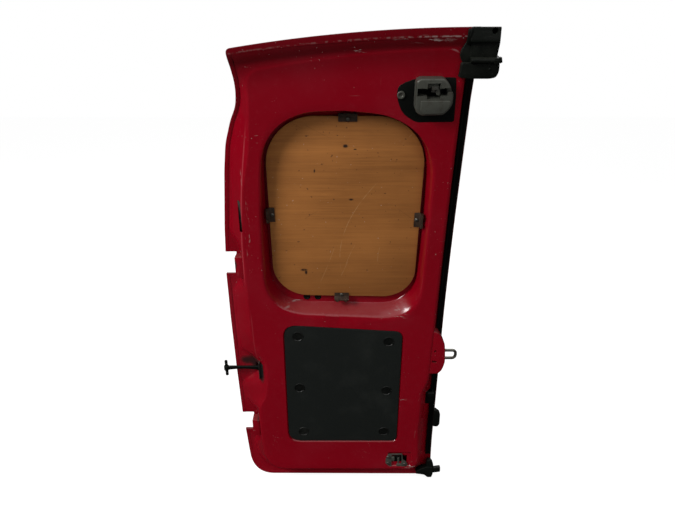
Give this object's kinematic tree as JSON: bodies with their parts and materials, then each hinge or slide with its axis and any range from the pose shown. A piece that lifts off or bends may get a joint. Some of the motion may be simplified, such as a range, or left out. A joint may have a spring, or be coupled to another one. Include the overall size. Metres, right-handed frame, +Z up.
{
  "type": "van rear door",
  "caption": "Pressed steel rear door for a small van, leaning inward at the top, with a boarded window, access cover, latches, striker eye and check strap.",
  "frame": {"origin": "middle of the flat face of the upper hinge pad, on the hinge edge", "axes": "+Z up the door, +X from the hinge edge to the meeting edge, -Y out of the inner side toward the cabin, +Y out of the painted skin"},
  "size_m": [0.6275, 0.1403, 1.2219],
  "materials": {
    "red_paint": "gloss",
    "dark_glass": "gloss",
    "black_rubber": "matte",
    "plywood": "satin",
    "bronze_steel": "satin",
    "black_plastic": "matte",
    "bare_steel": "satin",
    "latch_steel": "satin"
  },
  "bodies": {
    "door": {"outer_skin": "red_paint", "inner_panel": "red_paint", "window_pane": "dark_glass", "pane_seal": "black_rubber", "board_seal": "black_rubber", "window_board": "plywood", "board_clip_top": "bronze_steel", "board_clip_left": "bronze_steel", "board_clip_right": "bronze_steel", "board_clip_bottom": "bronze_steel", "board_screws": "bare_steel", "access_cover": "black_plastic", "cover_screws": "bare_steel", "body_plugs": "black_rubber", "latch_mat": "black_rubber", "mat_button": "bare_steel", "upper_latch_housing": "latch_steel", "upper_latch_back": "latch_steel", "claw_pin": "bare_steel", "lower_latch_body": "latch_steel", "lower_latch_screws": "bare_steel", "meeting_edge_strip": "black_rubber", "top_end_cap": "black_rubber", "lower_corner_cap": "black_rubber", "edge_buffer": "black_rubber", "edge_clip": "black_plastic", "striker_plate": "red_paint", "striker_eye": "bare_steel", "check_box": "black_plastic", "check_gasket": "black_rubber", "upper_hinge_pad": "red_paint", "lower_hinge_pad": "red_paint", "slot_plate": "bare_steel"},
    "strap": {"check_strap": "black_plastic"},
    "claw": {"upper_latch_claw": "bare_steel"}
  },
  "joints": [
    {"name": "check_strap_slide", "type": "slide", "parent": "door", "child": "strap", "axis": [-1, 0, 0], "range_m": [0, 0.07]},
    {"name": "upper_claw_turn", "type": "hinge", "parent": "door", "child": "claw", "pos_m": [0.435, -0.09316, 0.42493], "axis": [1, 0, 0], "range_deg": [0, 35], "stiffness_Nm_per_rad": 0.2}
  ]
}
